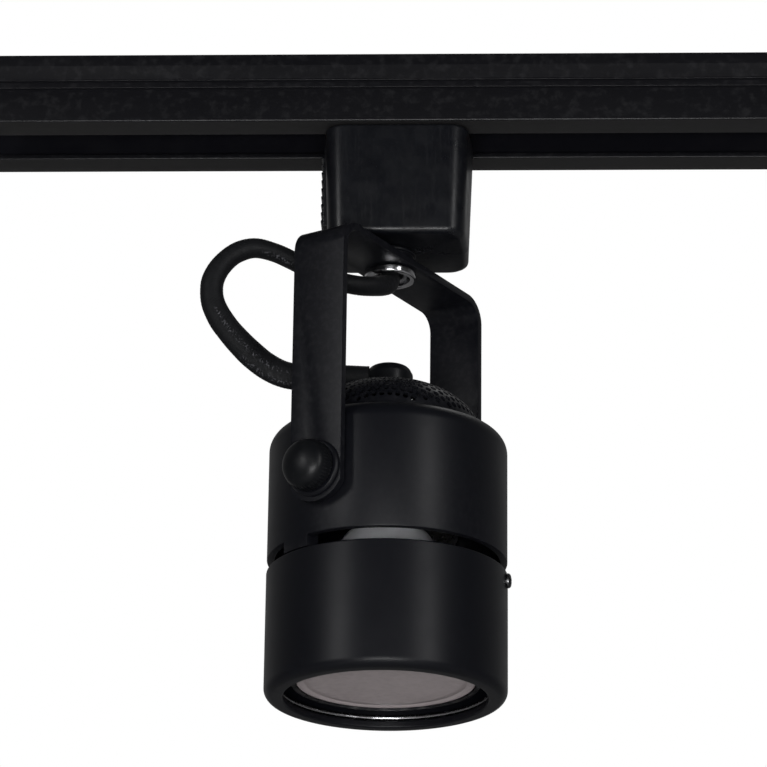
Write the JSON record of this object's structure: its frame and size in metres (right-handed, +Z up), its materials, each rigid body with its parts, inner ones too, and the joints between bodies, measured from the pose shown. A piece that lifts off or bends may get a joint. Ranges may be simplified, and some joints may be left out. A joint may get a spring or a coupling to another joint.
{
  "type": "track spotlight",
  "caption": "Black track spotlight on a short length of surface track: plug-in adapter, turning U-shaped yoke and tilting cylindrical lamp head with a looped cord.",
  "frame": {"origin": "centre of the track's flat top face, the face that a ceiling holds", "axes": "+Z up, out of the top face; +X along the track; -Y towards the side the release tab and near thumb knob are seen from"},
  "size_m": [0.25, 0.0794, 0.1791],
  "materials": {
    "track_paint": "satin black paint on an extrusion",
    "liner_plastic": "matte dark insulation",
    "copper": "bare copper strip",
    "adapter_plastic": "semi-gloss black moulding",
    "knob_plastic": "gloss black moulding",
    "black_coat": "satin black powder coat",
    "chrome": "polished plate",
    "zinc_steel": "zinc-plated steel",
    "nylon": "matte dark nylon",
    "lamp_shell": "pale grey lamp body",
    "lamp_glass": "frosted grey cover",
    "ceramic": "glazed ceramic",
    "lead_sleeve": "insulated lead",
    "cord_braid": "black braided sleeve"
  },
  "bodies": {
    "track": {"track_rail": "track_paint", "track_liner_near": "liner_plastic", "track_liner_far": "liner_plastic", "track_conductor_near": "copper", "track_conductor_far": "copper"},
    "adapter": {"adapter_front_shell": "adapter_plastic", "adapter_rear_shell": "adapter_plastic", "shell_screw_upper": "zinc_steel", "shell_screw_lower": "zinc_steel", "adapter_neck": "adapter_plastic", "contact_blade_near": "copper", "contact_blade_far": "copper", "contact_cap": "adapter_plastic", "earth_contact": "copper", "release_spring": "zinc_steel", "swivel_nipple": "zinc_steel", "nipple_locknut": "zinc_steel", "swivel_boss": "adapter_plastic"},
    "tab": {"release_tab": "adapter_plastic"},
    "yoke": {"yoke_bracket": "black_coat", "ring_nut": "chrome", "power_cord": "cord_braid", "friction_washer_near": "nylon", "friction_washer_far": "nylon", "knob_washer_near": "black_coat", "knob_washer_far": "black_coat"},
    "head": {"rear_housing": "black_coat", "front_shade": "black_coat", "shade_screw_right": "zinc_steel", "shade_screw_rear": "zinc_steel", "vent_dome": "black_coat", "cord_bushing": "knob_plastic", "snap_ring": "zinc_steel", "lamp_body": "lamp_shell", "lamp_lens": "lamp_glass", "lamp_base": "ceramic", "lamp_socket": "ceramic", "socket_bracket": "zinc_steel", "lamp_pin_left": "zinc_steel", "lamp_pin_right": "zinc_steel", "socket_screw_left": "zinc_steel", "socket_screw_right": "zinc_steel", "lamp_lead_left": "lead_sleeve", "lamp_lead_right": "lead_sleeve", "pivot_insert_near": "zinc_steel", "pivot_insert_far": "zinc_steel"},
    "knob_near": {"thumb_knob_near": "knob_plastic", "pivot_stud_near": "zinc_steel"},
    "knob_far": {"thumb_knob_far": "knob_plastic", "pivot_stud_far": "zinc_steel"}
  },
  "joints": [
    {"name": "track_slide", "type": "slide", "parent": "track", "child": "adapter", "axis": [1, 0, 0], "range_m": [-0.09, 0.09]},
    {"name": "release_slide", "type": "slide", "parent": "adapter", "child": "tab", "axis": [0, 0, -1], "range_m": [0, 0.0035], "stiffness_N_per_m": 400, "springref_m": -0.002, "deforming": ["release_spring"]},
    {"name": "yoke_pan", "type": "hinge", "parent": "adapter", "child": "yoke", "pos_m": [0, 0, -0.0575], "axis": [0, 0, 1], "range_deg": [-175, 175]},
    {"name": "head_tilt", "type": "hinge", "parent": "yoke", "child": "head", "pos_m": [0, 0, -0.1258], "axis": [0.5045, 0.8634, 0], "range_deg": [-90, 90], "deforming": ["power_cord"]},
    {"name": "knob_near_turn", "type": "hinge", "parent": "head", "child": "knob_near", "pos_m": [0, 0, -0.1258], "axis": [-0.5045, -0.8634, 0], "continuous": true},
    {"name": "knob_far_turn", "type": "hinge", "parent": "head", "child": "knob_far", "pos_m": [0, 0, -0.1258], "axis": [0.5045, 0.8634, 0], "continuous": true}
  ]
}
